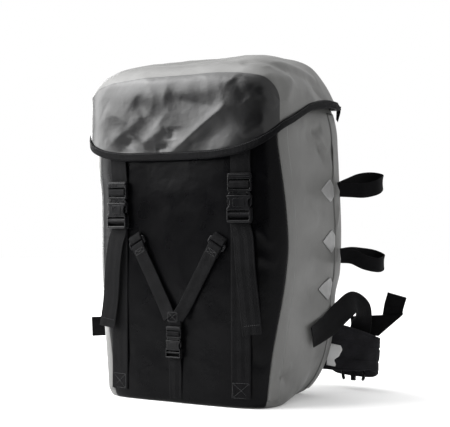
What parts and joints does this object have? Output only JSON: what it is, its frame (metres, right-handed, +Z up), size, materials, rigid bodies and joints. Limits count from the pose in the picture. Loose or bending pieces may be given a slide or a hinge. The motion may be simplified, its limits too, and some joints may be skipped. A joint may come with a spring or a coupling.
{
  "type": "backpack",
  "caption": "Tall rectangular messenger backpack of grey and black welded tarpaulin with a hood lid, buckled front straps, a helmet harness and a folded hip belt",
  "frame": {"origin": "on the floor, in the middle of the flat base the bag stands on", "axes": "+Z up, the front faces -Y, the wearer's back is at +Y, +X is the right side seen from the front"},
  "size_m": [0.6005, 0.3588, 0.6],
  "materials": {
    "grey_tarp": "coated tarpaulin, satin",
    "black_tarp": "coated tarpaulin, glossy",
    "hem_tape": "woven tape, matte",
    "reflective": "welded patch, satin",
    "webbing": "woven webbing, matte",
    "buckle_plastic": "moulded, fine satin",
    "padding": "spacer mesh over foam, matte"
  },
  "bodies": {
    "root": {"body_shell": "grey_tarp", "front_panel": "black_tarp", "front_seam_left": "grey_tarp", "front_seam_right": "grey_tarp", "rear_seam_left": "grey_tarp", "rear_seam_right": "grey_tarp", "side_diamond_left_1": "reflective", "side_diamond_left_2": "reflective", "side_diamond_left_3": "reflective", "side_diamond_right_1": "reflective", "side_diamond_right_2": "reflective", "side_diamond_right_3": "reflective", "lid_shell": "grey_tarp", "lid_panel": "black_tarp", "lid_binding": "hem_tape", "strap_buckle_upper_left": "buckle_plastic", "strap_buckle_lower_left": "buckle_plastic", "strap_upper_left": "webbing", "strap_lower_left": "webbing", "harness_ring_left": "buckle_plastic", "harness_arm_left": "webbing", "harness_tab_left": "webbing", "side_loop_upper_left": "webbing", "side_loop_lower_left": "webbing", "shoulder_strap_left": "padding", "ladder_lock_left": "buckle_plastic", "shoulder_webbing_left": "webbing", "hip_fin_left": "padding", "belt_strap_left": "webbing", "strap_buckle_upper_right": "buckle_plastic", "strap_buckle_lower_right": "buckle_plastic", "strap_upper_right": "webbing", "strap_lower_right": "webbing", "harness_ring_right": "buckle_plastic", "harness_arm_right": "webbing", "harness_tab_right": "webbing", "side_loop_upper_right": "webbing", "side_loop_lower_right": "webbing", "shoulder_strap_right": "padding", "ladder_lock_right": "buckle_plastic", "shoulder_webbing_right": "webbing", "hip_fin_right": "padding", "belt_strap_right": "webbing", "harness_buckle_upper": "buckle_plastic", "harness_buckle_lower": "buckle_plastic", "harness_strap_lower": "webbing", "harness_yoke": "webbing", "back_pad": "padding", "belt_tail_right": "webbing", "belt_buckle_right": "buckle_plastic"}
  },
  "joints": []
}
